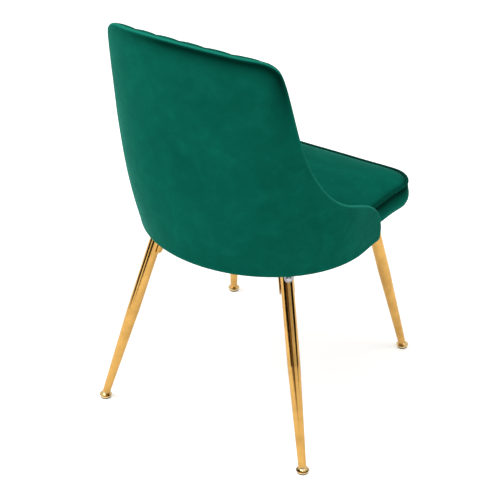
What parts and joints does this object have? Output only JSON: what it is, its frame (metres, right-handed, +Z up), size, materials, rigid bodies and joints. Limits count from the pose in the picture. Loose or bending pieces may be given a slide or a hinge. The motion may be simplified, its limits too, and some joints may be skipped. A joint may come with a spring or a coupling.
{
  "type": "dining chair",
  "caption": "Upholstered tub dining chair in green velvet with a channelled back, piped seat cushion and splayed gold tapered legs on levelling glides.",
  "frame": {"origin": "on the floor, below the centre of the chair's bounding box", "axes": "+Z up, -Y towards the front that the sitter faces, +X towards the sitter's left"},
  "size_m": [0.4634, 0.5126, 0.834],
  "materials": {
    "velvet": "deep green cut-pile velvet",
    "velvet_piping": "velvet-covered welt cord",
    "plywood": "birch plywood, unfinished",
    "beech": "planed, unfinished",
    "dust_cloth": "black spunbond non-woven",
    "zinc_steel": "zinc plated",
    "bright_steel": "nickel plated",
    "gold_plating": "polished gold plating on steel tube",
    "rubber": "black, satin"
  },
  "bodies": {
    "frame": {"back_pad": "velvet", "back_shell_ply": "plywood", "board_screws": "zinc_steel", "bracket_bolts": "zinc_steel", "bracket_tee_nuts": "zinc_steel", "dust_cover": "dust_cloth", "dust_cover_staples": "zinc_steel", "foot_inserts": "zinc_steel", "front_batten": "beech", "front_rail": "beech", "left_rail": "beech", "leg_bolts": "bright_steel", "leg_bracket_front_left": "gold_plating", "leg_bracket_front_right": "gold_plating", "leg_bracket_rear_left": "gold_plating", "leg_bracket_rear_right": "gold_plating", "leg_front_left": "gold_plating", "leg_front_right": "gold_plating", "leg_nuts": "bright_steel", "leg_rear_left": "gold_plating", "leg_rear_right": "gold_plating", "leg_washers": "bright_steel", "outer_back_cover": "velvet", "rear_batten": "beech", "rear_rail": "beech", "right_rail": "beech", "seat_board": "plywood", "seat_cushion": "velvet", "seat_piping": "velvet_piping", "shell_screws": "zinc_steel"},
    "glide_front_left": {"glide_cup_front_left": "gold_plating", "glide_pad_front_left": "rubber"},
    "stud_front_left": {"glide_stud_front_left": "zinc_steel"},
    "glide_front_right": {"glide_cup_front_right": "gold_plating", "glide_pad_front_right": "rubber"},
    "stud_front_right": {"glide_stud_front_right": "zinc_steel"},
    "glide_rear_left": {"glide_cup_rear_left": "gold_plating", "glide_pad_rear_left": "rubber"},
    "stud_rear_left": {"glide_stud_rear_left": "zinc_steel"},
    "glide_rear_right": {"glide_cup_rear_right": "gold_plating", "glide_pad_rear_right": "rubber"},
    "stud_rear_right": {"glide_stud_rear_right": "zinc_steel"}
  },
  "joints": [
    {"name": "glide_travel_front_left", "type": "slide", "parent": "frame", "child": "glide_front_left", "axis": [0.1444, -0.2177, -0.9653], "range_m": [0, 0.01]},
    {"name": "stud_turn_front_left", "type": "hinge", "parent": "glide_front_left", "child": "stud_front_left", "pos_m": [0.2004, -0.2445, 0.0063], "axis": [0.1444, -0.2177, -0.9653], "range_deg": [0, 3600]},
    {"name": "glide_travel_front_right", "type": "slide", "parent": "frame", "child": "glide_front_right", "axis": [-0.1444, -0.2177, -0.9653], "range_m": [0, 0.01]},
    {"name": "stud_turn_front_right", "type": "hinge", "parent": "glide_front_right", "child": "stud_front_right", "pos_m": [-0.2004, -0.2445, 0.0063], "axis": [-0.1444, -0.2177, -0.9653], "range_deg": [0, 3600]},
    {"name": "glide_travel_rear_left", "type": "slide", "parent": "frame", "child": "glide_rear_left", "axis": [0.2247, 0.2088, -0.9518], "range_m": [0, 0.01]},
    {"name": "stud_turn_rear_left", "type": "hinge", "parent": "glide_rear_left", "child": "stud_rear_left", "pos_m": [0.2199, 0.2008, 0.0063], "axis": [0.2247, 0.2088, -0.9518], "range_deg": [0, 3600]},
    {"name": "glide_travel_rear_right", "type": "slide", "parent": "frame", "child": "glide_rear_right", "axis": [-0.2247, 0.2088, -0.9518], "range_m": [0, 0.01]},
    {"name": "stud_turn_rear_right", "type": "hinge", "parent": "glide_rear_right", "child": "stud_rear_right", "pos_m": [-0.2199, 0.2008, 0.0063], "axis": [-0.2247, 0.2088, -0.9518], "range_deg": [0, 3600]}
  ],
  "couplings": [
    {"joint": "stud_turn_front_left", "follows": "glide_travel_front_left", "rad_per_m": 6283.2},
    {"joint": "stud_turn_front_right", "follows": "glide_travel_front_right", "rad_per_m": 6283.2},
    {"joint": "stud_turn_rear_left", "follows": "glide_travel_rear_left", "rad_per_m": 6283.2},
    {"joint": "stud_turn_rear_right", "follows": "glide_travel_rear_right", "rad_per_m": 6283.2}
  ]
}
